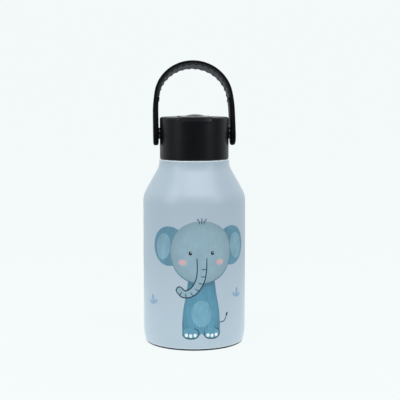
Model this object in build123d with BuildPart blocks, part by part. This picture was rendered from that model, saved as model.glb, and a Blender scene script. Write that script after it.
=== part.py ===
"""Insulated drinking bottle for a child: a painted double-walled steel flask, a screw lid with a flip cap
over a soft drinking spout and its straw, and a carry bow that swings on the lid.

Millimetres, +Z up, the origin at the centre of the standing face. The spout's side faces -Y, and the
bow's pivots lie along X. The bow is drawn where it rests, leaning back."""

import math
import os

from build123d import *

os.makedirs("parts", exist_ok=True)

# Flask, outside
body_r = 35.0  # painted barrel
barrel_h = 90.8  # straight, from the foot's curve to where its line meets the shoulder's cone
shoulder_h = 20.0  # rise of the cone, up to where it meets the collar
collar_h = 4.7  # from there to the ledge under the lid
shoulder_r = 15.5  # rounding between barrel and cone
collar_round = 12.0  # rounding between cone and collar
ledge_step = 0.4  # how far the ledge stands out past the lid
foot_z = 1.3  # weld between shell and base
foot_h = 9.2  # the barrel draws in over this height above the weld
foot_in = 1.35  # how far the shell draws in at the weld
shell_wall = 0.6
vessel_wall = 0.5
vacuum_gap = 2.4
vessel_floor = 8.5  # inside floor of the vessel

# Base
ring_w = 3.3  # standing ring
base_wall = 0.7
recess = 2.0  # depth of the base inside the ring
dimple = 1.3  # height of the dimple in its middle
dimple_r = 3.2
disc_t = 0.65
disc_gap = 0.8  # between the disc and the ring's wall
getter_r = 5.5
getter_x = 15.0

# Neck and its thread
neck_r = 19.4
neck_h = 11.5
neck_space = 0.6  # between the shell's neck and the vessel's
thread_pitch = 4.0
thread_turns = 1.25
thread_depth = 1.0
thread_foot = 2.0  # axial width of a ridge at its foot
thread_crest = 0.9
thread_gap = 0.35  # between each crest and the root it runs in
thread_rise = 3.4  # from the ledge to the middle of the ridge where it starts

# Lid
lid_gap = 0.3  # between the lid's edge and the ledge
lid_wall = 1.6
liner_wall = 1.15  # outside the thread's root
deck = 1.4
gasket_t = 1.5  # room for the gasket between the rim and the deck
plug_gap = 0.9  # between the plug ring and the mouth
plug_wall = 1.2
deck_room = 4.2  # between the deck and the floor of the cap's pocket
pocket_depth = 8.4
pocket_rim = 2.0  # between the pocket's round side and the outside
pivot_rise = 3.1  # from the deck to the bow's pivots
running = 0.08  # radial clearance of a pin or ring that turns
clear = 0.3  # clearance of parts that move past each other

# Spout and straw, on one upright axis in front of the centre, and the air vent behind it
spout_y = -7.0
spout_seat = 4.2  # the spout's neck in the pocket's floor
spout_bore = 2.3
stem_bore = 2.0
stem_r = 3.2
straw_r = 3.6
straw_wall = 0.9
straw_lift = 2.3  # from the vessel's floor
vent_y = 9.0
vent_r = 1.2

# Flip cap
cap_w = 21.1
cap_sink = 1.3  # its underside lies this far under the lid's top
plate_t = 2.1
dome_r = 7.2  # shallow dome over the spout
dome_h = 1.2
hinge_y = 9.0
hinge_drop = 1.15  # the pin's axis under the lid's top
knuckle_w = 14.0
knuckle_r = 1.8
hinge_slot = 0.5  # between the knuckle and each lug
lug_r = 1.7
pin_r = 0.9
pin_wall = 0.6  # left outside each end of the pin
tab_drop = 1.4  # how far the front tab hangs below the cap's plate
notch_round = 2.0  # lower corners of the notch that the tab hangs in
pad_t = 0.8

# Carry bow
bow_lean = 18.0
bow_height = 51.0  # from the pivots to the top
bow_taper = 0.8  # the arch is this much narrower each side than the arms
bow_straight = 14.0  # the arms run straight up to here
bow_t = 3.6
bow_w = 10.0
arm_w = 12.6  # the arms widen to this at the pivots
strap_round = 1.4
arm_drop = 2.0  # their round ends are centred this far below the pivots
trunnion_r = 2.0
washer_t = 0.6
washer_side = 1.9  # width of the washer's face round the trunnion
pad_stand = 0.2  # how far the lid's pads stand out of its side
band_t = 1.9  # the hard strap's thickness over the arch, outside the grip
scallops = 17
scallop_depth = 0.7
grip_stand = 0.35  # the crests between scallops stand this far inside the arms' line

# Sizes that follow: heights
foot_top = foot_z + foot_h
barrel_top = foot_top + barrel_h
collar_z = barrel_top + shoulder_h
ledge_z = collar_z + collar_h
thread_z = ledge_z + thread_rise
mouth_z = ledge_z + neck_h
shell_top = mouth_z - vessel_wall
deck_z = mouth_z + gasket_t
deck_top = deck_z + deck
lid_z = ledge_z + lid_gap
pivot_z = deck_top + pivot_rise
floor_z = deck_top + deck_room + lid_wall
lid_top = floor_z + pocket_depth
hinge_z = lid_top - hinge_drop
cap_under = lid_top - cap_sink
cap_top = cap_under + plate_t
tab_z = cap_under - tab_drop
dimple_z = recess + dimple

# and widths
liner_root = neck_r + thread_depth + thread_gap
liner_r = liner_root + liner_wall
lid_r = liner_r + lid_wall
ledge_r = lid_r + ledge_step
vessel_inset = shell_wall + vacuum_gap
bore_r = neck_r - shell_wall - neck_space - vessel_wall
plug_r = bore_r - plug_gap
ring_r = body_r - foot_in - ring_w - 0.15
cone_lean = math.atan2(body_r - ledge_r, shoulder_h)
cone_shift = math.tan(cone_lean / 2)
collar_fit = min(collar_round, (collar_h - 1.2) / cone_shift - shell_wall)
half_cap = cap_w / 2
pocket_half = half_cap + clear
pocket_r = lid_r - pocket_rim
pocket_rear = hinge_y + knuckle_r + clear + 0.3
plate_rear = hinge_y - knuckle_r - 1.2
pad_x = lid_r + pad_stand
pad_r = trunnion_r + washer_side
bow_half = pad_x + washer_t + 0.1 + bow_t
bow_arch = bow_half - bow_taper
spout_axis = Axis((0, spout_y, 0), (0, 0, 1))
spout_plane = Plane.XZ.offset(-spout_y)


def half_section(points, radii, plane=Plane.XZ):
    """A closed half section: one filleted run of points, shut by a straight line."""
    with BuildSketch(plane) as section:
        with BuildLine():
            run = FilletPolyline(*points, radius=radii)
            Line(run @ 1, run @ 0)
        make_face()
    return section.sketch


def foot_arc(inset):
    """End, middle and start points of the arc that draws a flask wall in towards its foot."""
    radius = (foot_h**2 + foot_in**2) / (2 * foot_in)
    sweep_angle = math.asin(foot_h / radius)
    centre_x = body_r - radius
    return [
        (
            centre_x + (radius - inset) * math.cos(a),
            foot_top - (radius - inset) * math.sin(a),
        )
        for a in (0, sweep_angle / 2, sweep_angle)
    ]


def thread_ridge(root_r, height, start):
    """One helical ridge standing height off root_r, outwards if positive, from an angle in degrees."""
    sink = -0.2 if height > 0 else 0.2
    half_foot = thread_foot / 2
    half_crest = thread_crest / 2
    with BuildPart() as ridge:
        with BuildLine() as path:
            Helix(
                pitch=thread_pitch,
                height=thread_turns * thread_pitch,
                radius=root_r,
                center=(0, 0, thread_z),
            )
        start_plane = Plane(
            origin=path.line @ 0, x_dir=(1, 0, 0), z_dir=path.line % 0
        )
        with BuildSketch(start_plane):
            with BuildLine():
                Polyline(
                    (sink, -half_foot),
                    (0, -half_foot),
                    (height, -half_crest),
                    (height, half_crest),
                    (0, half_foot),
                    (sink, half_foot),
                    close=True,
                )
            make_face()
        sweep(path=path.line, is_frenet=True)
    return ridge.part.rotate(Axis.Z, start)


# Flask -------------------------------------------------------------------------------------------

# Drawn steel shell: foot, barrel, cone, collar, ledge and the neck, with the rolled thread on the neck
neck_thread = thread_ridge(neck_r, thread_depth, 0)

with BuildPart() as outer_shell:
    with BuildSketch(Plane.XZ):
        with BuildLine():
            FilletPolyline(
                (body_r, foot_top),
                (body_r, barrel_top),
                (ledge_r, collar_z),
                (ledge_r, ledge_z),
                (neck_r, ledge_z),
                (neck_r, shell_top),
                radius=(shoulder_r, collar_fit, 0.8, 0.5),
            )
            Line((neck_r, shell_top), (neck_r - shell_wall, shell_top))
            FilletPolyline(
                (neck_r - shell_wall, shell_top),
                (neck_r - shell_wall, ledge_z - shell_wall),
                (ledge_r - shell_wall, ledge_z - shell_wall),
                (ledge_r - shell_wall, collar_z - shell_wall * cone_shift),
                (body_r - shell_wall, barrel_top - shell_wall * cone_shift),
                (body_r - shell_wall, foot_top),
                radius=(0, 0.2, collar_fit + shell_wall, shoulder_r - shell_wall),
            )
            inner_arc = foot_arc(shell_wall)
            outer_arc = foot_arc(0)
            ThreePointArc(*inner_arc)
            Line(inner_arc[2], outer_arc[2])
            ThreePointArc(*reversed(outer_arc))
        make_face()
    revolve(axis=Axis.Z)
    add(neck_thread)
outer_shell.part.label = "outer_shell"

# Pressed base: standing ring, recessed floor and a dimple with the pump-out hole
with BuildPart() as base_plate:
    with BuildSketch(Plane.XZ):
        with BuildLine():
            weld_out = foot_arc(0)[2]
            weld_in = foot_arc(shell_wall)[2]
            FilletPolyline(
                (1.0, dimple_z),
                (dimple_r - 0.6, dimple_z),
                (dimple_r, recess),
                (ring_r - 0.8, recess),
                (ring_r, 0.0),
                (ring_r + ring_w, 0.0),
                weld_out,
                radius=(0.3, 0.4, 0.7, 0.8, 1.1),
            )
            Line(weld_out, weld_in)
            FilletPolyline(
                weld_in,
                (weld_in[0] - 0.1, base_wall),
                (ring_r + 0.55, base_wall),
                (ring_r - 0.25, recess + base_wall),
                (dimple_r + 0.45, recess + base_wall),
                (dimple_r - 0.15, dimple_z + base_wall),
                (1.0, dimple_z + base_wall),
                radius=(0.5, 0.3, 0.3, 0.3, 0.3),
            )
            Line((1.0, dimple_z + base_wall), (1.0, dimple_z))
        make_face()
    revolve(axis=Axis.Z)
base_plate.part.label = "base_plate"

# Bead of solder glass that closes the pump-out hole
with BuildPart() as vacuum_seal:
    section = half_section(
        [
            (0, recess + 0.3),
            (dimple_r - 1.0, recess + 0.3),
            (dimple_r - 1.0, dimple_z),
            (1.0, dimple_z),
            (1.0, dimple_z + base_wall + 0.4),
            (0, dimple_z + base_wall + 0.4),
        ],
        (0.5, 0, 0, 0.4),
    )
    revolve(section, axis=Axis.Z)
vacuum_seal.part.label = "vacuum_seal"

# Getter tablet, tacked to the base inside the vacuum
with BuildPart() as getter:
    with Locations((getter_x, 0, recess + base_wall)):
        Cylinder(getter_r, 1.0, align=(Align.CENTER, Align.CENTER, Align.MIN))
    fillet(getter.faces().sort_by(Axis.Z)[-1].edges(), 0.3)
getter.part.label = "getter"

# Bright disc stuck in the recess of the base
with BuildPart() as base_cover:
    with Locations((0, 0, recess)):
        Cylinder(
            ring_r - 0.8 - disc_gap, disc_t, align=(Align.CENTER, Align.CENTER, Align.MAX)
        )
    fillet(base_cover.faces().sort_by(Axis.Z)[0].edges(), 0.25)
base_cover.part.label = "base_cover"

# Inner vessel: one gap inside the shell, its lip turned over the end of the shell's neck
with BuildPart() as inner_vessel:
    out_r = body_r - vessel_inset
    in_r = out_r - vessel_wall
    out_neck = bore_r + vessel_wall
    out_corner = barrel_top - vessel_inset * cone_shift
    neck_corner = ledge_z - shell_wall
    vessel_lean = math.atan2(out_r - out_neck, neck_corner - out_corner)
    wall_shift = vessel_wall * math.tan(vessel_lean / 2)
    section = half_section(
        [
            (0, vessel_floor - vessel_wall),
            (out_r, vessel_floor - vessel_wall),
            (out_r, out_corner),
            (out_neck, neck_corner),
            (out_neck, shell_top),
            (neck_r, shell_top),
            (neck_r, mouth_z),
            (bore_r, mouth_z),
            (bore_r, neck_corner - wall_shift),
            (in_r, out_corner - wall_shift),
            (in_r, vessel_floor),
            (0, vessel_floor),
        ],
        (7.5, 12.5, 6.0, 0, 0, 0.3, 0.3, 5.5, 12.0, 7.0),
    )
    revolve(section, axis=Axis.Z)
inner_vessel.part.label = "inner_vessel"

# Lid ---------------------------------------------------------------------------------------------

# Silicone ring between the flask's rim and the lid's deck
with BuildPart() as mouth_gasket:
    with BuildSketch(Plane.XZ):
        with BuildLine():
            FilletPolyline(
                (plug_r + running, mouth_z + 0.1),
                (neck_r, mouth_z + 0.1),
                (neck_r, deck_z - 0.1),
                (plug_r + running, deck_z - 0.1),
                radius=0.25,
                close=True,
            )
        make_face()
    revolve(axis=Axis.Z)
mouth_gasket.part.label = "mouth_gasket"

# Liner: the threaded cup that screws on the neck, with a plug ring that centres the gasket
liner_thread = thread_ridge(liner_root, -thread_depth, 180)

with BuildPart() as lid_liner:
    section = half_section(
        [
            (0, deck_z),
            (plug_r - plug_wall, deck_z),
            (plug_r - plug_wall, mouth_z - 1.5),
            (plug_r, mouth_z - 1.5),
            (plug_r, deck_z),
            (liner_root, deck_z),
            (liner_root, lid_z + 0.5),
            (liner_r, lid_z + 0.5),
            (liner_r, deck_top),
            (0, deck_top),
        ],
        (0.5, 0.4, 0.4, 0, 0, 0.3, 0, 0),
    )
    revolve(section, axis=Axis.Z)
    add(liner_thread)
    with Locations((0, spout_y, deck_z)):
        Cylinder(stem_r, 4 * deck, mode=Mode.SUBTRACT)
    with Locations((0, vent_y, deck_z)):
        Cylinder(vent_r, 4 * deck, mode=Mode.SUBTRACT)
lid_liner.part.label = "lid_liner"

# Lid body: skin, pocket for the flip cap, hinge lugs, and a pad and bearing block for each bow pivot
with BuildPart() as lid_shell:
    section = half_section(
        [(0, lid_z), (lid_r, lid_z), (lid_r, lid_top), (0, lid_top)], (0.6, 1.5)
    )
    revolve(section, axis=Axis.Z)
    with BuildSketch(Plane.XY.offset(lid_z)):
        Circle(liner_r)
    extrude(amount=lid_top - lid_wall - lid_z, mode=Mode.SUBTRACT)
    # Tub round the pocket, hung from the top
    with BuildSketch(Plane.XY.offset(floor_z - lid_wall)):
        Circle(liner_r + 0.2)
        with Locations((0, pocket_rear + lid_wall)):
            Rectangle(
                2 * (pocket_half + lid_wall),
                60,
                align=(Align.CENTER, Align.MAX),
                mode=Mode.INTERSECT,
            )
    extrude(amount=lid_top - lid_wall + 0.3 - (floor_z - lid_wall))
    for side in (-1, 1):
        # The bearing block stands on the deck and backs the skin
        with BuildSketch(Plane.XY.offset(deck_top)):
            with Locations((side * (liner_r - 0.9), 0)):
                Rectangle(3.2, 2 * pad_r - 0.4)
        extrude(amount=pivot_rise + pad_r - 0.2)
        with BuildSketch(Plane.YZ.offset(side * (liner_r + 0.6))):
            with Locations((0, pivot_z)):
                Circle(pad_r)
        extrude(amount=side * (pad_x - liner_r - 0.6))
    # Pocket, and the notch that the cap's front tab hangs in
    with BuildSketch(Plane.XY.offset(floor_z)):
        Circle(pocket_r)
        with Locations((0, pocket_rear)):
            Rectangle(
                2 * pocket_half, 60, align=(Align.CENTER, Align.MAX), mode=Mode.INTERSECT
            )
    extrude(amount=20, mode=Mode.SUBTRACT)
    with BuildSketch(Plane.XZ.offset(lid_r - 9.5)):
        with Locations((0, tab_z - clear)):
            RectangleRounded(
                2 * pocket_half, 20, notch_round, align=(Align.CENTER, Align.MIN)
            )
    extrude(amount=20, mode=Mode.SUBTRACT)
    pocket_rim = lid_shell.edges().filter_by(GeomType.LINE).group_by(Axis.Z)[-1]
    chamfer(pocket_rim, 0.3)
    # Lugs on both sides of the knuckle, with snap slots that the pin is pressed down through
    for side in (-1, 1):
        lug_in = knuckle_w / 2 + hinge_slot
        with BuildSketch(Plane.YZ.offset(side * lug_in)):
            with Locations((hinge_y, hinge_z)):
                Circle(lug_r)
            with Locations((hinge_y, hinge_z)):
                Rectangle(
                    2 * lug_r, hinge_z - floor_z, align=(Align.CENTER, Align.MAX)
                )
        extrude(amount=side * (pocket_half - lug_in + 0.2))
        with BuildSketch(Plane.YZ.offset(side * lug_in)):
            with Locations((hinge_y, hinge_z)):
                Circle(pin_r + running)
                Rectangle(1.6 * pin_r, 5, align=(Align.CENTER, Align.MIN))
        extrude(amount=side * (pocket_half - lug_in - pin_wall), mode=Mode.SUBTRACT)
    # Holes: spout, and the two bearings of the bow
    with Locations((0, spout_y, floor_z)):
        Cylinder(spout_seat, 6, mode=Mode.SUBTRACT)
    for side in (-1, 1):
        with Locations(Location((side * liner_r, 0, pivot_z), (0, 90, 0))):
            Cylinder(trunnion_r + running, 6, mode=Mode.SUBTRACT)
lid_shell.part.label = "lid_shell"

# Friction washers between the lid's pads and the bow's arms
washers = []
for name, side in (("pivot_washer_left", -1), ("pivot_washer_right", 1)):
    with BuildPart() as washer:
        with BuildSketch(Plane.YZ.offset(side * pad_x)):
            with Locations((0, pivot_z)):
                Circle(pad_r)
                Circle(trunnion_r + running, mode=Mode.SUBTRACT)
        extrude(amount=side * washer_t)
    washer.part.label = name
    washers.append(washer)

# Soft drinking spout, snapped into the pocket's floor
spout_top = cap_under - pad_t - clear
with BuildPart() as mouthpiece:
    section = half_section(
        [
            (stem_r, floor_z - lid_wall - 1.1),
            (spout_seat + 0.7, floor_z - lid_wall - 1.1),
            (spout_seat + 0.7, floor_z - lid_wall),
            (spout_seat, floor_z - lid_wall),
            (spout_seat, floor_z),
            (spout_seat + 1.6, floor_z),
            (spout_seat + 1.6, floor_z + 1.1),
            (spout_seat + 0.5, floor_z + 1.1),
            (spout_seat - 0.3, spout_top - 1.5),
            (spout_seat + 0.1, spout_top - 0.9),
            (spout_seat + 0.1, spout_top),
            (spout_bore, spout_top),
            (spout_bore, floor_z - 0.6),
            (stem_r, floor_z - 0.6),
        ],
        (0.4, 0, 0, 0, 0.4, 0.5, 0.5, 0.4, 0.3, 0.4, 0.4, 0),
        spout_plane,
    )
    revolve(section, axis=spout_axis)
mouthpiece.part.label = "mouthpiece"

# Stem through the deck: the spout sits on its top and the straw on its spigot
stem_foot = deck_z - 3.6
spigot_end = stem_foot - 7.0
with BuildPart() as straw_stem:
    section = half_section(
        [
            (stem_bore, spigot_end),
            (straw_r - straw_wall, spigot_end),
            (straw_r - straw_wall, stem_foot),
            (stem_r, stem_foot),
            (stem_r, deck_top),
            (stem_r + 2.0, deck_top),
            (stem_r + 2.0, deck_top + 1.0),
            (stem_r, deck_top + 1.0),
            (stem_r, floor_z - 0.6),
            (stem_bore, floor_z - 0.6),
        ],
        (0.3, 0, 0, 0, 0.3, 0.3, 0.3, 0.3),
        spout_plane,
    )
    revolve(section, axis=spout_axis)
straw_stem.part.label = "straw_stem"

# Straw, cut at a slant so that the floor can't close it
straw_foot = vessel_floor + straw_lift
with BuildPart() as straw:
    with BuildSketch(Plane.XY.offset(straw_foot)):
        with Locations((0, spout_y)):
            Circle(straw_r)
            Circle(straw_r - straw_wall, mode=Mode.SUBTRACT)
    extrude(amount=stem_foot - straw_foot)
    with BuildSketch(Plane.YZ):
        with BuildLine():
            Polyline(
                (spout_y + straw_r + 1, straw_foot - 1),
                (spout_y + straw_r + 1, straw_foot + 2 * straw_r + 1),
                (spout_y - straw_r - 1, straw_foot - 1),
                close=True,
            )
        make_face()
    extrude(amount=10, both=True, mode=Mode.SUBTRACT)
straw.part.label = "straw"

# Umbrella valve that lets air in as the child drinks
with BuildPart() as vent_valve:
    section = half_section(
        [
            (0, deck_z - 0.9),
            (vent_r + 2.0, deck_z - 0.5),
            (vent_r + 2.0, deck_z),
            (vent_r, deck_z),
            (vent_r, deck_top),
            (vent_r + 0.7, deck_top),
            (vent_r + 0.7, deck_top + 0.9),
            (0, deck_top + 0.9),
        ],
        (0.2, 0.1, 0, 0, 0, 0.4),
        Plane.XZ.offset(-vent_y),
    )
    revolve(section, axis=Axis((0, vent_y, 0), (0, 0, 1)))
vent_valve.part.label = "vent_valve"

# Flip cap ----------------------------------------------------------------------------------------

# Plate with a thumb tab in front, a shallow dome over the spout and a hinge knuckle behind
with BuildPart() as flip_cap:
    with BuildSketch(Plane.YZ):
        with BuildLine():
            crown = ThreePointArc(
                (-lid_r - 1, cap_top - 0.3),
                (-9.0, cap_top),
                (plate_rear, cap_top - 0.1),
            )
            Polyline(
                crown @ 1, (plate_rear, cap_under), (-lid_r - 1, cap_under), crown @ 0
            )
        make_face()
    extrude(amount=half_cap, both=True)
    with BuildSketch(Plane.XY.offset(tab_z - 1)):
        Circle(lid_r)
    extrude(amount=20, mode=Mode.INTERSECT)
    with BuildSketch(Plane.XY.offset(tab_z)):
        Circle(lid_r)
        Circle(pocket_r + 0.2, mode=Mode.SUBTRACT)
        with Locations((0, -10)):
            Rectangle(
                cap_w, 30, align=(Align.CENTER, Align.MAX), mode=Mode.INTERSECT
            )
    extrude(amount=cap_under - tab_z + 0.3)
    fillet(flip_cap.edges().filter_by(Axis.Y).group_by(Axis.Z)[0], notch_round - clear)
    fillet(flip_cap.edges().filter_by_position(Axis.Z, cap_top - 0.6, cap_top + 1), 0.5)
    dome_ball = (dome_r**2 + dome_h**2) / (2 * dome_h)
    with BuildSketch(spout_plane):
        with BuildLine():
            dome = ThreePointArc(
                (0, cap_top + dome_h),
                (
                    dome_r / 2,
                    cap_top + dome_h - dome_ball
                    + math.sqrt(dome_ball**2 - dome_r**2 / 4),
                ),
                (dome_r, cap_top),
            )
            Polyline(
                dome @ 1, (dome_r, cap_top - 0.6), (0, cap_top - 0.6), dome @ 0
            )
        make_face()
    revolve(axis=spout_axis)
    with BuildSketch(Plane.YZ):
        with Locations((hinge_y, hinge_z)):
            Circle(knuckle_r)
        with Locations((plate_rear - 0.8, cap_under)):
            Rectangle(0.6, plate_t - 0.2, align=(Align.CENTER, Align.MIN))
        make_hull()
    extrude(amount=knuckle_w / 2, both=True)
    with Locations(Location((0, hinge_y, hinge_z), (0, 90, 0))):
        Cylinder(pin_r, 40, mode=Mode.SUBTRACT)
flip_cap.part.label = "flip_cap"

# Silicone pad under the cap, over the spout
with BuildPart() as cap_seal:
    with Locations((0, spout_y, cap_under)):
        Cylinder(spout_seat + 1.0, pad_t, align=(Align.CENTER, Align.CENTER, Align.MAX))
    fillet(cap_seal.faces().sort_by(Axis.Z)[0].edges(), 0.3)
cap_seal.part.label = "cap_seal"

# Steel pin, pressed in the knuckle, whose ends turn in the lugs
with BuildPart() as hinge_pin:
    with Locations(Location((0, hinge_y, hinge_z), (0, 90, 0))):
        Cylinder(pin_r, 2 * (pocket_half - pin_wall) - 0.6)
    chamfer(hinge_pin.edges(), 0.25)
hinge_pin.part.label = "hinge_pin"

# Carry bow ---------------------------------------------------------------------------------------

lean = math.radians(bow_lean)
bow_up = Vector(0, math.sin(lean), math.cos(lean))
bow_face = Plane(
    origin=(0, 0, pivot_z),
    x_dir=(1, 0, 0),
    z_dir=(0, -math.cos(lean), math.sin(lean)),
)
bow_side = Plane(
    origin=(0, 0, pivot_z),
    x_dir=(0, -math.cos(lean), math.sin(lean)),
    z_dir=(-1, 0, 0),
)
arch_v = bow_height - bow_arch
arch_centre = Vector(0, 0, pivot_z) + bow_up * arch_v
arch_axis = Axis(origin=arch_centre, direction=(0, -math.cos(lean), math.sin(lean)))
arch_face = Plane(origin=arch_centre, x_dir=(1, 0, 0), z_dir=arch_axis.direction)
arch_end = Plane(origin=arch_centre, x_dir=(1, 0, 0), z_dir=bow_up * -1)


def bow_outline(inset):
    """One edge of the bow seen from the front, from the foot of the right arm over to the left."""
    rise = arch_v - bow_straight
    spare = bow_half - bow_arch
    reach = (rise**2 + spare**2) / (2 * spare)
    side_r = reach + bow_arch
    turn = math.asin(rise / reach)
    side = [
        (
            bow_half - side_r + (side_r - inset) * math.cos(a),
            bow_straight + (side_r - inset) * math.sin(a),
        )
        for a in (0, turn / 2, turn)
    ]
    other = [(-x, v) for x, v in reversed(side)]
    foot = (bow_half - inset, -20)
    Line(foot, side[0])
    ThreePointArc(*side)
    ThreePointArc(side[2], (0, bow_height - inset), other[0])
    ThreePointArc(*other)
    Line(other[2], (-foot[0], foot[1]))


# Hard strap with its two trunnions, thinned over the arch where the grip is moulded in
with BuildPart() as handle_bow:
    with BuildSketch(bow_face):
        with BuildLine():
            bow_outline(0)
            Line((-bow_half, -20), (bow_half, -20))
        make_face()
        with BuildLine():
            bow_outline(bow_t)
            Line((bow_t - bow_half, -20), (bow_half - bow_t, -20))
        make_face(mode=Mode.SUBTRACT)
    extrude(amount=arm_w, both=True)
    end_r = arm_w / 2
    with BuildSketch(bow_side):
        with BuildLine():
            FilletPolyline(
                (end_r, -arm_drop),
                (end_r, 5.0),
                (bow_w / 2, 24.0),
                (bow_w / 2, bow_height + 9),
                (-bow_w / 2, bow_height + 9),
                (-bow_w / 2, 24.0),
                (-end_r, 5.0),
                (-end_r, -arm_drop),
                radius=(60, 60, 0, 0, 60, 60),
            )
            ThreePointArc(
                (-end_r, -arm_drop), (0, -arm_drop - end_r), (end_r, -arm_drop)
            )
        make_face()
    extrude(amount=60, both=True, mode=Mode.INTERSECT)
    fillet(handle_bow.edges().filter_by(GeomType.LINE, reverse=True), strap_round)
    for side in (-1, 1):
        with BuildSketch(Plane.YZ.offset(side * (liner_r - 1.8))):
            with Locations((0, pivot_z)):
                Circle(trunnion_r)
        extrude(amount=side * (bow_half - bow_t + 0.5 - liner_r + 1.8))
    with BuildSketch(arch_end):
        Rectangle(bow_arch - band_t, 30, align=(Align.MIN, Align.CENTER))
    revolve(axis=arch_axis, revolution_arc=180, mode=Mode.SUBTRACT)
handle_bow.part.label = "handle_bow"

# Soft grip moulded inside the arch, with a row of finger scallops
with BuildPart(arch_face) as handle_grip:
    crest_r = bow_arch - bow_t - grip_stand
    half_pitch = crest_r * math.pi / scallops / 2
    scallop_r = (half_pitch**2 + scallop_depth**2) / (2 * scallop_depth)
    half_grip = bow_w / 2 - 0.2
    with BuildSketch(arch_end):
        with BuildLine():
            FilletPolyline(
                (bow_arch - band_t, -half_grip),
                (crest_r, -half_grip),
                (crest_r, half_grip),
                (bow_arch - band_t, half_grip),
                radius=0.9,
            )
            Line((bow_arch - band_t, half_grip), (bow_arch - band_t, -half_grip))
        make_face()
    revolve(axis=arch_axis, revolution_arc=180)
    with PolarLocations(
        crest_r + scallop_depth - scallop_r,
        scallops,
        start_angle=90 / scallops,
        angular_range=180,
    ):
        Cylinder(scallop_r, 3 * bow_w, mode=Mode.SUBTRACT)
handle_grip.part.label = "handle_grip"

for item in (
    outer_shell,
    inner_vessel,
    base_plate,
    base_cover,
    vacuum_seal,
    getter,
    mouth_gasket,
    lid_liner,
    lid_shell,
    mouthpiece,
    straw_stem,
    straw,
    vent_valve,
    flip_cap,
    cap_seal,
    hinge_pin,
    handle_bow,
    handle_grip,
    *washers,
):
    export_step(item.part, f"parts/{item.part.label}.step")
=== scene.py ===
"""A child's insulated drinking bottle, in a white light tent: a powder-coated steel flask with a
printed elephant, a satin black screw lid with a flip cap over a silicone spout, and a carry bow."""

import math

import bmesh
import bpy
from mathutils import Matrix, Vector


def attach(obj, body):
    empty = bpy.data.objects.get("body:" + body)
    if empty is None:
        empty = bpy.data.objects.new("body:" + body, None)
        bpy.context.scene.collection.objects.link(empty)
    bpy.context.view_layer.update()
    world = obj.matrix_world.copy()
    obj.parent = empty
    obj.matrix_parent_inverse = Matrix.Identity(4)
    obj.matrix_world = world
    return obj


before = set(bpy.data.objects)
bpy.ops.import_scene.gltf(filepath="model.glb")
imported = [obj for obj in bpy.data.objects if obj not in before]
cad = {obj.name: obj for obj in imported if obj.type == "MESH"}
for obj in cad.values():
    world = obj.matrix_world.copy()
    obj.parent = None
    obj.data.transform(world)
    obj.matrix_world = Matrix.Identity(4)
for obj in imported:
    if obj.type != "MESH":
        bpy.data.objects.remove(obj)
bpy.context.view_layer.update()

# Shell -------------------------------------------------------------------------------------------

# Drawn stainless tube, spun in at the shoulder and foot, blasted, and powder coated up to the
# ledge. The neck with its rolled thread was masked off, so it stays bare steel.
MM = 0.001


def node(tree, kind, inputs=None, **settings):
    """Adds a node, sets its properties, and sets or links its inputs."""
    made = tree.nodes.new(kind)
    for key, value in settings.items():
        setattr(made, key, value)
    for key, value in (inputs or {}).items():
        if isinstance(value, bpy.types.NodeSocket):
            tree.links.new(value, made.inputs[key])
        else:
            made.inputs[key].default_value = value
    return made


def maths(tree, operation, a, b=0.0, c=0.0):
    """One Math node's result."""
    made = node(tree, "ShaderNodeMath", {0: a, 1: b, 2: c}, operation=operation)
    return made.outputs[0]


def spread(tree, value, low, high, start=0.3, end=0.7):
    """Maps the middle of a noise's range onto low to high."""
    return node(
        tree,
        "ShaderNodeMapRange",
        {
            "Value": value,
            "From Min": start,
            "From Max": end,
            "To Min": low,
            "To Max": high,
        },
    ).outputs[0]


def swatch(red, green, blue):
    """A colour by its 0 to 255 screen values, as linear RGBA."""
    linear = [
        c / 12.92 if c <= 0.04045 else ((c + 0.055) / 1.055) ** 2.4
        for c in (red / 255, green / 255, blue / 255)
    ]
    return (*linear, 1.0)


def group_tree(name, kind, sockets):
    """An empty node group with its sockets, and its input and output nodes."""
    tree = bpy.data.node_groups.new(name, kind)
    for way, title, sort, value in sockets:
        made = tree.interface.new_socket(name=title, in_out=way, socket_type=sort)
        if value is not None:
            made.default_value = value
    return tree, tree.nodes.new("NodeGroupInput"), tree.nodes.new("NodeGroupOutput")


def skin_group():
    """Fine grain over slow ripples: the skin of anything moulded, sprayed or blasted."""
    tree, given, out = group_tree(
        "Grain over ripples",
        "ShaderNodeTree",
        [
            ("INPUT", "Grain size", "NodeSocketFloat", 0.0004),
            ("INPUT", "Grain depth", "NodeSocketFloat", 0.00001),
            ("INPUT", "Ripple size", "NodeSocketFloat", 0.006),
            ("INPUT", "Ripple depth", "NodeSocketFloat", 0.00001),
            ("OUTPUT", "Normal", "NodeSocketVector", None),
            ("OUTPUT", "Grain", "NodeSocketFloat", None),
            ("OUTPUT", "Ripple", "NodeSocketFloat", None),
        ],
    )
    where = node(tree, "ShaderNodeTexCoord").outputs["Object"]
    fields = []
    for size in ("Grain size", "Ripple size"):
        scale = maths(tree, "DIVIDE", 1.0, given.outputs[size])
        noise = node(
            tree,
            "ShaderNodeTexNoise",
            {"Vector": where, "Scale": scale, "Detail": 2.0, "Roughness": 0.55},
        )
        fields.append(noise.outputs["Fac"])
    normal = None
    for size, field in (("Ripple depth", fields[1]), ("Grain depth", fields[0])):
        bump = node(
            tree,
            "ShaderNodeBump",
            {"Strength": 1.0, "Distance": given.outputs[size], "Height": field},
        )
        if normal:
            tree.links.new(normal, bump.inputs["Normal"])
        normal = bump.outputs["Normal"]
    tree.links.new(normal, out.inputs["Normal"])
    tree.links.new(fields[0], out.inputs["Grain"])
    tree.links.new(fields[1], out.inputs["Ripple"])
    return tree


skin = skin_group()


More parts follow.
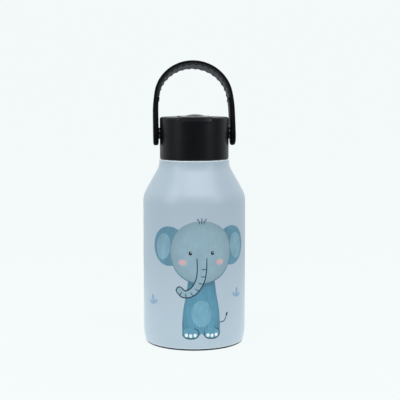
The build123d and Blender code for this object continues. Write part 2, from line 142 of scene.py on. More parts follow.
def surface(name, colour, roughness, grain, ripple, tone=0.03, gloss=0.03, **more):
    """A Principled material with that skin. Grain and ripple are each a size and a depth in mm.
    The colour drifts with the grain by tone, and the roughness with the ripple by gloss."""
    made = bpy.data.materials.new(name)
    made.use_nodes = True
    tree = made.node_tree
    shader = tree.nodes["Principled BSDF"]
    for key, value in more.items():
        shader.inputs[key.replace("_", " ")].default_value = value
    texture = node(tree, "ShaderNodeGroup", node_tree=skin)
    for key, (size, depth) in (("Grain", grain), ("Ripple", ripple)):
        texture.inputs[key + " size"].default_value = size * MM
        texture.inputs[key + " depth"].default_value = depth * MM
    shift = spread(tree, texture.outputs["Grain"], 1 - tone, 1 + tone)
    tinted = node(
        tree, "ShaderNodeVectorMath", {0: colour[:3], "Scale": shift}, operation="SCALE"
    )
    tree.links.new(tinted.outputs[0], shader.inputs["Base Color"])
    rough = spread(
        tree, texture.outputs["Ripple"], roughness - gloss, roughness + gloss
    )
    tree.links.new(rough, shader.inputs["Roughness"])
    tree.links.new(texture.outputs["Normal"], shader.inputs["Normal"])
    return made, tree, shader


def cylinder_reach(tree):
    """Object coordinates, the height in them, and the distance from the flask's axis."""
    place = node(tree, "ShaderNodeTexCoord").outputs["Object"]
    axes = node(tree, "ShaderNodeSeparateXYZ", {0: place})
    flat = node(
        tree, "ShaderNodeCombineXYZ", {0: axes.outputs[0], 1: axes.outputs[1]}
    )
    reach = node(
        tree, "ShaderNodeVectorMath", {0: flat.outputs[0]}, operation="LENGTH"
    )
    return place, axes.outputs[2], reach.outputs["Value"]


def wear(part, material):
    """Gives a CAD node one material."""
    cad[part].data.materials.clear()
    cad[part].data.materials.append(material)


coat, tree, shader = surface(
    "Powder coat",
    swatch(173, 190, 203),
    0.36,
    grain=(0.30, 0.007),
    ripple=(1.9, 0.010),
    tone=0.014,
)
place, height, reach = cylinder_reach(tree)

# The mask left a slightly ragged line on the ledge. Radii and heights are in metres
mask_radius, mask_wander = 0.0221, 0.0003
lowest_bare = 0.1
bare_steel = (0.56, 0.56, 0.57, 1.0)
ragged = node(tree, "ShaderNodeTexNoise", {"Vector": place, "Scale": 900.0})
mask_line = maths(tree, "MULTIPLY_ADD", ragged.outputs["Fac"], mask_wander, mask_radius)
inside_line = maths(tree, "LESS_THAN", reach, mask_line)
over_shoulder = maths(tree, "GREATER_THAN", height, lowest_bare)
bare = maths(tree, "MULTIPLY", inside_line, over_shoulder)
tree.links.new(bare, shader.inputs["Metallic"])

# Painted light: the coat goes pale in a band at the ledge's rounded edge, a painted highlight of the
# top light, and more weakly at the foot, a painted reflection of the floor
highlight_from_ledge = (0.1253, 0.1259)
reflection_to_foot = (0.0014, 0.0021)
painted_highlight_colour = swatch(236, 247, 255)
painted_highlight_strength, foot_reflection_share = 0.9, 0.45
painted = shader.inputs["Base Color"].links[0].from_socket
ledge_highlight = spread(tree, height, 0.0, 1.0, *highlight_from_ledge)
foot_reflection = spread(tree, height, 1.0, 0.0, *reflection_to_foot)
edge_highlights = maths(tree, "MULTIPLY_ADD", foot_reflection, foot_reflection_share, ledge_highlight)
painted_highlight = maths(tree, "MULTIPLY", edge_highlights, painted_highlight_strength)
highlighted_coat = node(tree, "ShaderNodeMix", {0: painted_highlight, 6: painted}, data_type="RGBA")
highlighted_coat.inputs[7].default_value = painted_highlight_colour
both = node(tree, "ShaderNodeMix", {0: bare, 6: highlighted_coat.outputs[2]}, data_type="RGBA")
both.inputs[7].default_value = bare_steel
tree.links.new(both.outputs[2], shader.inputs["Base Color"])
wear("outer_shell", coat)

# Vessel and base ---------------------------------------------------------------------------------

# The drink's steel cup is electropolished, its lip welded to the shell's. The base is pressed,
# welded in and brushed, and a bright disc is stuck in its recess over the bead of solder glass that
# closes the pump-out hole. The getter tablet is tacked to the base inside the vacuum.


def turned_steel(name, tone, roughness, pitch, groove):
    """Stainless steel finished on a lathe: rings round the axis, pitch apart and groove deep, both
    in mm. Its tone is the metal's brightness."""
    made = bpy.data.materials.new(name)
    made.use_nodes = True
    tree = made.node_tree
    shader = tree.nodes["Principled BSDF"]
    shader.inputs["Metallic"].default_value = 1.0
    place, height, reach = cylinder_reach(tree)
    along = maths(tree, "ADD", reach, height)
    rings = node(
        tree,
        "ShaderNodeTexNoise",
        {"W": along, "Scale": 1 / (pitch * MM), "Detail": 3.0, "Roughness": 0.7},
        noise_dimensions="1D",
    ).outputs["Fac"]
    cloud = node(
        tree, "ShaderNodeTexNoise", {"Vector": place, "Scale": 130.0, "Detail": 3.0}
    ).outputs["Fac"]
    shade = spread(tree, cloud, 0.93, 1.05)
    tinted = node(
        tree,
        "ShaderNodeVectorMath",
        {0: (tone * 0.88, tone, tone * 1.03), "Scale": shade},
        operation="SCALE",
    )
    tree.links.new(tinted.outputs[0], shader.inputs["Base Color"])
    rough = spread(tree, rings, roughness - 0.05, roughness + 0.06)
    tree.links.new(rough, shader.inputs["Roughness"])
    bump = node(
        tree,
        "ShaderNodeBump",
        {"Strength": 1.0, "Distance": groove * MM, "Height": rings},
    )
    tree.links.new(bump.outputs["Normal"], shader.inputs["Normal"])
    return made


wear("inner_vessel", turned_steel("Polished vessel", 0.62, 0.22, 0.35, 0.003))
# The base ring's steel is given a near-black tone: painted shade for the contact shadow where the
# foot meets the floor
wear("base_plate", turned_steel("Brushed base in painted shade", 0.035, 0.42, 0.25, 0.004))
wear("base_cover", turned_steel("Spun disc", 0.58, 0.26, 0.18, 0.006))
wear("getter", turned_steel("Getter metal", 0.20, 0.55, 0.3, 0.004))
glass, *_ = surface(
    "Solder glass", swatch(38, 44, 40), 0.12, grain=(0.2, 0.001), ripple=(1.0, 0.004)
)
wear("vacuum_seal", glass)

# Ears --------------------------------------------------------------------------------------------

# The print is a sitting elephant and a few leaves, screen printed on the coat in thin cured films,
# one over the other. Its ears come first: two round flaps, each with a paler hollow over it.

# The picture is laid out flat, across from its own centre line and up from the floor, and wrapped on
# the barrel a little to the right of its front. Lengths are in mm and the edge's angle in radians
barrel_radius = 35.0
print_turn = math.radians(3.5)
film = 0.018
bite = 0.012
crisp_edge = 0.6


def brushed_ink(name, colour, streak=0.2, wash=0.15, rim=None):
    """Ink with upright dry-brush streaks over a cloudy wash. A rim is the middle, half sizes and
    depth of an oval over which the ink deepens towards its edge."""
    made, tree, shader = surface(
        name, colour, 0.47, grain=(0.28, 0.004), ripple=(1.6, 0.004), tone=0.0
    )
    flat = node(tree, "ShaderNodeUVMap", uv_map="Print").outputs["UV"]
    streaks, clouds, mottle = (1.9, 0.09, 1.0), (0.16, 0.13, 1.0), (4.2, 4.2, 1.0)
    parts = []
    for scale, detail in ((streaks, 4.0), (clouds, 3.0), (mottle, 1.0)):
        stretched = node(tree, "ShaderNodeMapping", {"Vector": flat, "Scale": scale})
        noise = node(
            tree,
            "ShaderNodeTexNoise",
            {"Vector": stretched.outputs[0], "Scale": 1.0, "Detail": detail},
        )
        parts.append(noise.outputs["Fac"])
    light = spread(tree, parts[0], 1 - streak / 2, 1 + streak / 2)
    light = maths(
        tree, "MULTIPLY", light, spread(tree, parts[1], 1 - wash / 2, 1 + wash / 2)
    )
    light = maths(tree, "MULTIPLY", light, spread(tree, parts[2], 0.96, 1.04))
    if rim:
        (x, y), (half_x, half_y), depth = rim
        centred = node(
            tree,
            "ShaderNodeMapping",
            {
                "Vector": flat,
                "Location": (-x / half_x, -y / half_y, 0),
                "Scale": (1 / half_x, 1 / half_y, 1),
            },
        )
        out = node(
            tree,
            "ShaderNodeVectorMath",
            {0: centred.outputs[0]},
            operation="LENGTH",
        ).outputs["Value"]
        uneven = maths(tree, "MULTIPLY_ADD", parts[1], 0.2, out)
        deeper = spread(tree, uneven, 1.0, 1.0 - depth, 0.72, 1.12)
        light = maths(tree, "MULTIPLY", light, deeper)
    tinted = node(
        tree, "ShaderNodeVectorMath", {0: colour[:3], "Scale": light}, operation="SCALE"
    )
    tree.links.new(tinted.outputs[0], shader.inputs["Base Color"])
    return made


def lay(flat, name, layer, material, step=1.2):
    """Wraps a flat film, given as a bmesh in print millimetres, on the barrel, sunk by the bite into
    what lies under it, and closes it. Its layer says how many films are allowed for below it."""
    low = min(v.co.x for v in flat.verts)
    high = max(v.co.x for v in flat.verts)
    cut = math.ceil(low / step) * step
    while cut < high:
        everything = [*flat.verts, *flat.edges, *flat.faces]
        bmesh.ops.bisect_plane(
            flat, geom=everything, plane_co=(cut, 0, 0), plane_no=(1, 0, 0)
        )
        cut += step
    bmesh.ops.triangulate(flat, faces=flat.faces)
    bottom = barrel_radius + film * layer - bite
    top = barrel_radius + film * (layer + 1)
    raised = bmesh.ops.extrude_face_region(flat, geom=flat.faces[:])
    lifted = {v for v in raised["geom"] if isinstance(v, bmesh.types.BMVert)}
    plan = flat.loops.layers.uv.new("Print")
    for face in flat.faces:
        for loop in face.loops:
            loop[plan].uv = loop.vert.co.xy
    for vert in flat.verts:
        radius = top if vert in lifted else bottom
        turn = print_turn + vert.co.x / barrel_radius
        vert.co = (
            radius * math.sin(turn) * MM,
            -radius * math.cos(turn) * MM,
            vert.co.y * MM,
        )
    bmesh.ops.recalc_face_normals(flat, faces=flat.faces)
    for face in flat.faces:
        face.smooth = True
    for side in flat.edges:
        side.smooth = side.calc_face_angle(0.0) < crisp_edge
    mesh = bpy.data.meshes.new(name)
    flat.to_mesh(mesh)
    flat.free()
    mesh.materials.append(material)
    made = bpy.data.objects.new(name, mesh)
    bpy.context.scene.collection.objects.link(made)
    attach(made, "flask")


def filled(*outlines):
    """A flat bmesh with one face for each outline."""
    flat = bmesh.new()
    for outline in outlines:
        flat.faces.new([flat.verts.new((x, y, 0)) for x, y in outline])
    return flat


def rounded(x, y, half_x, half_y, power=2.0, tilt=0.0, count=72):
    """A superellipse: an ellipse at power 2, boxier above it."""
    turned = math.radians(tilt)
    points = []
    for i in range(count):
        a = 2 * math.pi * i / count
        px = half_x * math.copysign(abs(math.cos(a)) ** (2 / power), math.cos(a))
        py = half_y * math.copysign(abs(math.sin(a)) ** (2 / power), math.sin(a))
        points.append(
            (
                x + px * math.cos(turned) - py * math.sin(turned),
                y + px * math.sin(turned) + py * math.cos(turned),
            )
        )
    return points


def pair(x, y, half_x, half_y, tilt=0.0, count=72):
    """A flat bmesh of two mirrored ovals, one at x to each side of the centre line."""
    return filled(
        *(rounded(s * x, y, half_x, half_y, 2.0, s * tilt, count) for s in (-1, 1))
    )


ear_lean = 8
ear_ink = brushed_ink("Ear ink", swatch(92, 138, 161), 0.3, 0.2)
hollow_ink = brushed_ink("Ear hollow ink", swatch(124, 164, 182), 0.2, 0.25)
lay(pair(22.4, 70.2, 12.6, 13.2, ear_lean), "ink_ears", 0, ear_ink)
lay(pair(26.8, 69.8, 5.6, 8.8, ear_lean), "ink_ear_hollows", 1, hollow_ink)

# Body --------------------------------------------------------------------------------------------

# A sitting pear in deep teal ink with dry-brush streaks, and over it a paler belly and a darker band
# under the chin. The thin tail with its tuft is in pen ink, straight on the coat.


def curve_through(points, per_span=10):
    """A smooth run through the points (Catmull-Rom)."""
    ends = [
        tuple(2 * a - b for a, b in zip(points[0], points[1])),
        *points,
        tuple(2 * a - b for a, b in zip(points[-1], points[-2])),
    ]
    run = []
    for a, b, c, d in zip(ends, ends[1:], ends[2:], ends[3:]):
        for i in range(per_span):
            t = i / per_span
            run.append(
                tuple(
                    0.5
                    * (
                        2 * q
                        + (r - p) * t
                        + (2 * p - 5 * q + 4 * r - s) * t * t
                        + (3 * q - p - 3 * r + s) * t**3
                    )
                    for p, q, r, s in zip(a, b, c, d)
                )
            )
    return [*run, points[-1]]


def ribbon(run, half_width):
    """The left and right edges of a band along a run. Its half width is a function of the share of
    the run gone by."""
    run = [Vector(p) for p in run]
    left, right = [], []
    for i, here in enumerate(run):
        ahead = run[min(i + 1, len(run) - 1)] - run[max(i - 1, 0)]
        across = Vector((-ahead.y, ahead.x)).normalized()
        half = half_width(i / (len(run) - 1))
        left.append(here + across * half)
        right.append(here - across * half)
    return left, right


def stroke(points, width, taper=0.35):
    """The outline of a pen stroke along a smooth run, thinner towards its round ends."""
    run = [Vector(p) for p in curve_through(points)]
    left, right = ribbon(
        run,
        lambda part: width / 2 * (1 - taper + taper * math.sin(math.pi * part) ** 0.5),
    )
    blunt = width / 2 * (1 - taper)
    caps = []
    for end, way in ((run[-1], run[-1] - run[-2]), (run[0], run[0] - run[1])):
        way = way.normalized()
        across = Vector((-way.y, way.x))
        caps.append(
            [
                end + blunt * (across * math.cos(a) + way * math.sin(a))
                for a in (math.pi * k / 6 for k in range(1, 6))
            ]
        )
    outline = left + caps[0] + right[::-1] + caps[1]
    return [(p.x, p.y) for p in outline]


body_ink = brushed_ink(
    "Body ink", swatch(82, 140, 165), 0.34, 0.2, rim=((0.0, 27.0), (14.5, 23.0), 0.28)
)
flank = curve_through([(8.8, 49.5), (10.0, 40.0), (12.2, 28.0), (13.0, 18.0)], 8)
seat = curve_through(
    [(13.0, 18.0), (12.4, 12.0), (9.0, 9.4), (3.0, 10.0), (0.0, 12.2)], 6
)
half_body = [*flank, *seat[1:]]
other_half = [(-x, y) for x, y in reversed(half_body[:-1])]
lay(filled(half_body + other_half), "ink_body", 0, body_ink)
belly_ink = brushed_ink("Belly ink", swatch(108, 160, 181), 0.3, 0.2)
lay(filled(rounded(0, 25.4, 6.6, 9.0, 2.1)), "ink_belly", 1, belly_ink)
shade_ink = brushed_ink("Shade ink", swatch(68, 116, 138), 0.3, 0.2)
lay(filled(rounded(0, 46.2, 9.0, 2.4, 2.2)), "ink_chin_shadow", 1, shade_ink)
pen_ink = brushed_ink("Pen ink", swatch(36, 58, 76), 0.2, 0.15)
pen_width = 0.7
tail = stroke([(12.9, 19.0), (16.2, 19.6), (18.0, 22.4)], pen_width)
tuft = rounded(18.5, 24.0, 0.7, 1.5, 2.0, -18)
lay(filled(tail, tuft), "ink_tail", 0, pen_ink)

# Feet --------------------------------------------------------------------------------------------

# Two round soles stuck out in front, printed over the body in a lighter ink. Each has a pen line
# most of the way round it and three pale nails.
foot_across = 7.2
foot_ink = brushed_ink("Foot ink", swatch(88, 146, 170), 0.3, 0.2)
nail_ink = brushed_ink("Nail ink", swatch(218, 231, 238), 0.12, 0.08)
soles = [rounded(s * foot_across, 12.2, 5.4, 3.6, 2.3) for s in (-1, 1)]
lay(filled(*soles), "ink_feet", 2, foot_ink)
rings = []
for sole in soles:
    from_below = sole[30:] + sole[:30]
    rings.append(stroke([*from_below[2:56:6], from_below[56]], pen_width))
lay(filled(*rings), "ink_foot_lines", 3, pen_ink)
nails = [
    rounded(s * foot_across + k * 2.9, 10.6 + 0.4 * abs(k), 1.1, 1.25, 2.0, 0, 24)
    for s in (-1, 1)
    for k in (-1, 0, 1)
]
lay(filled(*nails), "ink_toenails", 4, nail_ink)

# Head --------------------------------------------------------------------------------------------

# One broad pale oval printed over everything behind it, its ink deeper towards the edge, on a
# slightly larger oval of shade ink that shows as a rim. Three short pen hairs stand on its crown.
head_ink = brushed_ink(
    "Head ink", swatch(141, 171, 185), 0.1, 0.12, rim=((0.5, 67.0), (22.4, 22.0), 0.2)
)
lay(filled(rounded(0, 66.4, 21.4, 20.9, 2.05)), "ink_head_edge", 2, shade_ink)
lay(filled(rounded(0, 66.7, 21.1, 20.6, 2.05)), "ink_head", 3, head_ink)
hairs = [
    stroke([(x, 85.4), (x * 1.5, 87.6), (x * 2.3, 89.4 - 0.4 * abs(x))], 0.55)
    for x in (-1.3, 0.1, 1.5)
]
lay(filled(*hairs), "ink_hairs", 4, pen_ink)

# Eyes and cheeks ---------------------------------------------------------------------------------

# Two round eyes in near-black ink, each with a small light dot over it, and two soft cheeks, each in
# two warm tones, the fainter one wider so that the blush fades outwards.
eye_across, eye_up = 7.4, 66.0
cheek_across, cheek_up = 12.6, 59.8
eye_ink = brushed_ink("Eye ink", swatch(12, 20, 32), 0.1, 0.1)
lay(pair(eye_across, eye_up, 1.15, 1.35, count=28), "ink_eyes", 4, eye_ink)
glints = [
    rounded(s * eye_across + 0.35, eye_up + 0.5, 0.32, 0.36, 2.0, 0, 16) for s in (-1, 1)
]
lay(filled(*glints), "ink_eye_glints", 5, nail_ink)
blush_ink = brushed_ink("Blush ink", swatch(184, 174, 183), 0.1, 0.12)
cheek_ink = brushed_ink("Cheek ink", swatch(206, 168, 173), 0.1, 0.12)
lay(pair(cheek_across, cheek_up, 2.9, 2.1, count=40), "ink_blush", 4, blush_ink)
lay(pair(cheek_across, cheek_up, 2.1, 1.4, count=40), "ink_cheeks", 5, cheek_ink)

# Trunk -------------------------------------------------------------------------------------------

# A tapering band in a tone near the head's, which swings down over the chest and curls up at its
# rounded tip. Its outline and the short wrinkles across it are printed last, in pen ink.
trunk_root, trunk_taper = 3.3, 1.1
outline_width, tip_width, wrinkle_width = 0.85, 0.8, 0.6
trunk_ink = brushed_ink("Trunk ink", swatch(138, 169, 184), 0.12, 0.14)
spine = curve_through(
    [(0.2, 62.5), (0.2, 54.0), (-1.4, 46.6), (-5.6, 40.6), (-11.2, 38.6), (-15.2, 41.6)]
)
outer, inner = ribbon(spine, lambda part: trunk_root - trunk_taper * part)
tip_middle = (outer[-1] + inner[-1]) / 2
tip_side = outer[-1] - tip_middle
tip_ahead = Vector((tip_side.y, -tip_side.x)) * 0.7
tip = [
    tip_middle + tip_side * math.cos(a) + tip_ahead * math.sin(a)
    for a in (math.pi * k / 12 for k in range(13))
]
lay(filled([tuple(p) for p in outer[:-1] + tip + inner[-2::-1]]), "ink_trunk", 4, trunk_ink)
trunk_lines = [
    stroke([tuple(p) for p in [*outer[::6], outer[-1]]], outline_width),
    stroke([tuple(p) for p in [*inner[::6], inner[-1]]], outline_width),
    stroke([tuple(p) for p in tip[::3]], tip_width),
]
lay(filled(*trunk_lines), "ink_trunk_lines", 5, pen_ink)
wrinkles = []
for i in (8, 14, 20, 26, 32, 38, 44):
    sag = (Vector(spine[i + 1]) - Vector(spine[i])).normalized() * 0.5
    across = [
        outer[i].lerp(inner[i], part) + sag * bow
        for part, bow in ((0.08, 0), (0.3, 1), (0.52, 1))
    ]
    wrinkles.append(stroke([tuple(p) for p in across], wrinkle_width))
lay(filled(*wrinkles), "ink_trunk_wrinkles", 6, pen_ink)

# Leaves ------------------------------------------------------------------------------------------

# Small sprigs of three pointed leaves in a bluer ink, each leaf with a light vein over it. They are
# set down here and there round the barrel, clear of the elephant.


def sprig_tree():
    """Geometry nodes: a fan of three pointed leaves at every point, leaning as the point says."""
    tree, given, out = group_tree(
        "Leaf sprigs",
        "GeometryNodeTree",
        [
            ("INPUT", "Geometry", "NodeSocketGeometry", None),
            ("INPUT", "Length", "NodeSocketFloat", 6.0),
            ("INPUT", "Half width", "NodeSocketFloat", 1.2),
            ("INPUT", "Foot gap", "NodeSocketFloat", 0.4),
            ("INPUT", "Fan", "NodeSocketFloat", 1.0),
            ("INPUT", "Ink", "NodeSocketMaterial", None),
            ("OUTPUT", "Geometry", "NodeSocketGeometry", None),
        ],
    )
    outer_leaf_loss = 0.24
    disc = node(
        tree, "GeometryNodeMeshCircle", {"Vertices": 28, "Radius": 1.0}, fill_type="NGON"
    )
    place = node(tree, "GeometryNodeInputPosition").outputs[0]
    axes = node(tree, "ShaderNodeSeparateXYZ", {0: place})
    reach = maths(tree, "ABSOLUTE", axes.outputs[0])
    pinched = maths(tree, "MULTIPLY", axes.outputs[0], reach)
    across = maths(tree, "MULTIPLY", pinched, given.outputs["Half width"])
    half = maths(tree, "MULTIPLY", given.outputs["Length"], 0.5)
    middle = maths(tree, "ADD", half, given.outputs["Foot gap"])
    up = maths(tree, "MULTIPLY_ADD", axes.outputs[1], half, middle)
    shaped = node(tree, "ShaderNodeCombineXYZ", {0: across, 1: up}).outputs[0]
    leaf = node(
        tree,
        "GeometryNodeSetPosition",
        {"Geometry": disc.outputs["Mesh"], "Position": shaped},
    )
    feet = node(tree, "GeometryNodeMeshLine", {"Count": 3, "Offset": (0.0, 0.0, 0.0)})
    index = node(tree, "GeometryNodeInputIndex").outputs[0]
    side = maths(tree, "SUBTRACT", index, 1.0)
    fanned = maths(tree, "MULTIPLY", side, given.outputs["Fan"])
    turn = node(tree, "ShaderNodeCombineXYZ", {2: fanned})
    outermost = maths(tree, "ABSOLUTE", side)
    smaller = maths(tree, "MULTIPLY_ADD", outermost, -outer_leaf_loss, 1.0)
    fan = node(
        tree,
        "GeometryNodeInstanceOnPoints",
        {
            "Points": feet.outputs["Mesh"],
            "Instance": leaf.outputs["Geometry"],
            "Rotation": turn.outputs[0],
            "Scale": smaller,
        },
    )
    sprig = node(
        tree, "GeometryNodeRealizeInstances", {"Geometry": fan.outputs["Instances"]}
    )
    lean = node(
        tree, "GeometryNodeInputNamedAttribute", {"Name": "lean"}, data_type="FLOAT"
    )
    leaning = node(tree, "ShaderNodeCombineXYZ", {2: lean.outputs[0]})
    placed = node(
        tree,
        "GeometryNodeInstanceOnPoints",
        {
            "Points": given.outputs["Geometry"],
            "Instance": sprig.outputs["Geometry"],
            "Rotation": leaning.outputs[0],
        },
    )
    real = node(
        tree, "GeometryNodeRealizeInstances", {"Geometry": placed.outputs["Instances"]}
    )
    inked = node(
        tree,
        "GeometryNodeSetMaterial",
        {"Geometry": real.outputs["Geometry"], "Material": given.outputs["Ink"]},
    )
    tree.links.new(inked.outputs["Geometry"], out.inputs["Geometry"])
    return tree


# Each sprig's foot, across and up in print millimetres, and its lean in degrees
sprig_places = [
    (-36.2, 29.6, 10),
    (27.8, 34.2, -8),
    (-60.0, 60.0, -14),
    (-82.0, 30.0, 16),
    (56.0, 20.0, -10),
    (62.0, 62.0, 14),
    (84.0, 37.0, -6),
    (-102.0, 58.0, 12),
    (104.0, 70.0, 8),
]
leaf_ink = brushed_ink("Leaf ink", swatch(122, 158, 190), 0.24, 0.16)
vein_ink = brushed_ink("Vein ink", swatch(172, 196, 214), 0.1, 0.1)
fan_step = math.radians(56)
sprig_nodes = sprig_tree()
points = bpy.data.meshes.new("sprig_feet")
points.from_pydata([(x, y, 0) for x, y, _ in sprig_places], [], [])
leans = points.attributes.new("lean", "FLOAT", "POINT")
leans.data.foreach_set("value", [math.radians(lean) for *_, lean in sprig_places])
for name, layer, ink, sizes in (
    ("ink_leaves", 0, leaf_ink, {"Length": 6.6, "Half width": 1.35, "Foot gap": 0.45}),
    ("ink_leaf_veins", 1, vein_ink, {"Length": 4.4, "Half width": 0.2, "Foot gap": 1.1}),
):
    holder = bpy.data.objects.new(name + "_feet", points)
    bpy.context.scene.collection.objects.link(holder)
    grown = holder.modifiers.new("Sprigs", "NODES")
    grown.node_group = sprig_nodes
    wanted = {**sizes, "Fan": fan_step, "Ink": ink}
    for item in sprig_nodes.interface.items_tree:
        if item.in_out == "INPUT" and item.name in wanted:
            grown[item.identifier] = wanted[item.name]
    graph = bpy.context.evaluated_depsgraph_get()
    sprigs = bpy.data.meshes.new_from_object(holder.evaluated_get(graph))
    bpy.data.objects.remove(holder)
    flat = bmesh.new()
    flat.from_mesh(sprigs)
    lay(flat, name, layer, ink)

# Lid ---------------------------------------------------------------------------------------------

# Lid body and flip cap, black polypropylene from a spark-eroded mould: a fine even satin. The
# threaded liner inside is the same resin, plainer. The cap's knuckle is pressed on a ground steel
# pin whose ends turn in the lugs, and the washers under the bow's trunnions are slippery acetal.
satin, *_ = surface(
    "Satin black",
    swatch(5, 8, 13),
    0.40,
    grain=(0.20, 0.005),
    ripple=(4.0, 0.012),
    tone=0.12,
    Specular_IOR_Level=0.24,
)
wear("lid_shell", satin)
polished, *_ = surface(
    "Cap black",
    swatch(24, 28, 31),
    0.30,
    grain=(0.20, 0.003),
    ripple=(5.0, 0.012),
    tone=0.12,
    Specular_IOR_Level=0.4,
)
wear("flip_cap", polished)
liner, *_ = surface(
    "Liner black", swatch(24, 25, 27), 0.5, grain=(0.2, 0.004), ripple=(4.0, 0.01), tone=0.1
)
wear("lid_liner", liner)
acetal, *_ = surface(
    "Black acetal", swatch(14, 14, 15), 0.3, grain=(0.3, 0.002), ripple=(3.0, 0.004), tone=0.1
)
for part in ("pivot_washer_left", "pivot_washer_right"):
    wear(part, acetal)
wear("hinge_pin", turned_steel("Ground pin", 0.5, 0.25, 0.15, 0.003))

# Spout and seals ---------------------------------------------------------------------------------

# Spout, gasket and vent valve, moulded in milky food-grade silicone, a little see-through where it
# is thin, and pushed into place without glue. The pad under the cap is grey silicone.
silicone, *_ = surface(
    "Milky silicone",
    swatch(222, 225, 222),
    0.42,
    grain=(0.3, 0.003),
    ripple=(2.5, 0.01),
    tone=0.01,
    Subsurface_Weight=0.35,
    Subsurface_Scale=0.002,
)
for part in ("mouthpiece", "mouth_gasket", "vent_valve"):
    wear(part, silicone)
pad, *_ = surface(
    "Grey silicone", swatch(120, 124, 128), 0.5, grain=(0.3, 0.003), ripple=(2.5, 0.008)
)
wear("cap_seal", pad)

# Straw -------------------------------------------------------------------------------------------

# Stem and straw, both natural polypropylene, pale and waxy. The stem is moulded and goes through
# the lid's deck, with the spout on its top and on its spigot the straw, a tube cut at a slant.
waxy, *_ = surface(
    "Natural polypropylene",
    swatch(214, 218, 219),
    0.34,
    grain=(0.4, 0.002),
    ripple=(6.0, 0.02),
    tone=0.01,
    Subsurface_Weight=0.25,
    Subsurface_Scale=0.003,
)
for part in ("straw", "straw_stem"):
    wear(part, waxy)

# Carry bow ---------------------------------------------------------------------------------------

# The strap is the lid's black polypropylene, moulded in one with its trunnions. The grip inside the
# arch is soft rubber moulded on it: duller and greyer, finely stippled, with a dip for each finger.
strap, *_ = surface(
    "Strap black",
    swatch(8, 11, 15),
    0.42,
    grain=(0.25, 0.005),
    ripple=(6.0, 0.015),
    tone=0.12,
    Specular_IOR_Level=0.03,
)
wear("handle_bow", strap)
soft, tree, shader = surface(
    "Soft grip",
    swatch(24, 28, 33),
    0.58,
    grain=(0.35, 0.012),
    ripple=(2.0, 0.01),
    tone=0.08,
    Specular_IOR_Level=0.16,
)

# Painted sheen: the side that faces the middle of the hand's opening is mixed towards a paler grey
opening_middle = (0.0, 0.009, 0.1705)
coordinates = node(tree, "ShaderNodeTexCoord")
inward = node(
    tree,
    "ShaderNodeVectorMath",
    {0: opening_middle, 1: coordinates.outputs["Object"]},
    operation="SUBTRACT",
)
inward = node(
    tree, "ShaderNodeVectorMath", {0: inward.outputs[0]}, operation="NORMALIZE"
)
facing = node(
    tree,
    "ShaderNodeVectorMath",
    {0: inward.outputs[0], 1: coordinates.outputs["Normal"]},
    operation="DOT_PRODUCT",
)
painted_sheen = spread(tree, facing.outputs["Value"], 0.0, 1.0, 0.35, 0.9)
dull = shader.inputs["Base Color"].links[0].from_socket
sheened_grip = node(tree, "ShaderNodeMix", {0: painted_sheen, 6: dull}, data_type="RGBA")
sheened_grip.inputs[7].default_value = swatch(78, 83, 88)
tree.links.new(sheened_grip.outputs[2], shader.inputs["Base Color"])
wear("handle_grip", soft)

# Studio ------------------------------------------------------------------------------------------

# A round white tent: a pale floor that curves up into walls, bright behind and dim in front, two
# upright softboxes beside the camera and one overhead.
bpy.context.scene.view_settings.view_transform = "Standard"
floor_radius, sweep, wall_top = 1.2, 0.5, 2.6
gores = 96
profile = [(0.5, 0.0), (0.9, 0.0), (floor_radius, 0.0)]
profile += [
    (floor_radius + sweep * math.sin(a), sweep - sweep * math.cos(a))
    for a in (math.pi / 2 * k / 10 for k in range(1, 11))
]
profile.append((floor_radius + sweep, wall_top))
tent_mesh = bmesh.new()
rings = []
for radius, up in profile:
    ring = []
    for k in range(gores):
        a = 2 * math.pi * k / gores
        ring.append(tent_mesh.verts.new((radius * math.cos(a), radius * math.sin(a), up)))
    rings.append(ring)
middle = tent_mesh.verts.new((0, 0, 0))
for k in range(gores):
    after = (k + 1) % gores
    tent_mesh.faces.new([middle, rings[0][k], rings[0][after]])
    for inner, outer in zip(rings, rings[1:]):
        tent_mesh.faces.new([inner[k], outer[k], outer[after], inner[after]])
mesh = bpy.data.meshes.new("tent")
tent_mesh.to_mesh(mesh)
tent_mesh.free()
mesh.shade_smooth()
tent = bpy.data.objects.new("tent", mesh)
bpy.context.scene.collection.objects.link(tent)

# The paper's glow lights the bottle, from behind and from a pool of light on the floor at its foot.
# The camera is shown one even brightness instead
paper_colour = (0.03, 0.031, 0.031, 1.0)
glow_colour = (0.945, 1.0, 1.0, 1.0)
shown_glow = 0.93
pool_glow = 1.2
paper = bpy.data.materials.new("Tent paper")
paper.use_nodes = True
tree = paper.node_tree
shader = tree.nodes["Principled BSDF"]
shader.inputs["Base Color"].default_value = paper_colour
shader.inputs["Roughness"].default_value = 0.9
shader.inputs["Specular IOR Level"].default_value = 0.0
shader.inputs["Emission Color"].default_value = glow_colour
place = node(tree, "ShaderNodeTexCoord").outputs["Object"]
axes = node(tree, "ShaderNodeSeparateXYZ", {0: place})
back = spread(tree, axes.outputs[1], 0.05, 0.95, -0.35, 0.8)
flat = node(tree, "ShaderNodeCombineXYZ", {0: axes.outputs[0], 1: axes.outputs[1]})
away = node(tree, "ShaderNodeVectorMath", {0: flat.outputs[0]}, operation="LENGTH")
near = spread(tree, away.outputs["Value"], 1.0, 0.0, 0.15, 0.5)
floor_glow = maths(tree, "MULTIPLY", near, pool_glow)
glow = maths(tree, "MAXIMUM", back, floor_glow)
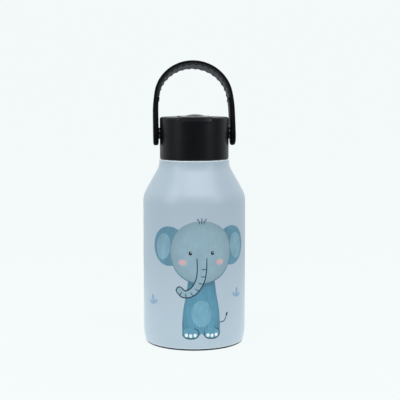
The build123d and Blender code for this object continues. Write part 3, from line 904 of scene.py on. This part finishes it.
seen = node(tree, "ShaderNodeLightPath").outputs["Is Camera Ray"]
shown = node(
    tree, "ShaderNodeMix", {0: seen, 2: glow, 3: shown_glow}, data_type="FLOAT"
)
tree.links.new(shown.outputs[0], shader.inputs["Emission Strength"])
mesh.materials.append(paper)


def softbox(name, azimuth, elevation, distance, width, height, power):
    """A rectangular area light aimed at the bottle's middle, in degrees, metres and watts."""
    aim_height = 0.1
    a, e = math.radians(azimuth), math.radians(elevation)
    way = Vector((math.sin(a) * math.cos(e), -math.cos(a) * math.cos(e), math.sin(e)))
    lamp = bpy.data.lights.new(name, "AREA")
    lamp.shape = "RECTANGLE"
    lamp.size, lamp.size_y = width, height
    lamp.energy = power
    made = bpy.data.objects.new(name, lamp)
    made.location = Vector((0, 0, aim_height)) + way * distance
    made.rotation_euler = way.to_track_quat("Z", "Y").to_euler()
    made.visible_camera = False
    bpy.context.scene.collection.objects.link(made)


softbox("Left box", -61, 31, 0.9, 0.35, 1.0, 3.5)
softbox("Right box", 49, 31, 0.9, 0.35, 1.0, 3.1)
softbox("Top box", 0, 58, 1.1, 0.9, 0.7, 6.8)

world = bpy.data.worlds.new("Studio air")
bpy.context.scene.world = world
world.use_nodes = True
air = world.node_tree.nodes["Background"]
air.inputs["Color"].default_value = (0.95, 0.98, 1.0, 1.0)
air.inputs["Strength"].default_value = 0.2

# Camera ------------------------------------------------------------------------------------------

# A long lens on a tripod, level with the bow and a little to the left, tipped slightly down. The
# angles are in degrees and the lengths in metres.
stand_off, lens_height = 0.707, 0.1745
aside_by, tipped_down, panned = -4.4, 6.21, 0.32
camera = bpy.data.cameras.new("Camera")
camera.sensor_width = 36.0
camera.lens = 93.06
camera.clip_start = 0.05
eye = bpy.data.objects.new("Camera", camera)
bpy.context.scene.collection.objects.link(eye)
aside = math.radians(aside_by)
eye.location = (
    stand_off * math.sin(aside),
    -stand_off * math.cos(aside),
    lens_height,
)
eye.rotation_euler = (
    math.radians(90 - tipped_down),
    0.0,
    aside - math.radians(panned),
)
bpy.context.scene.camera = eye
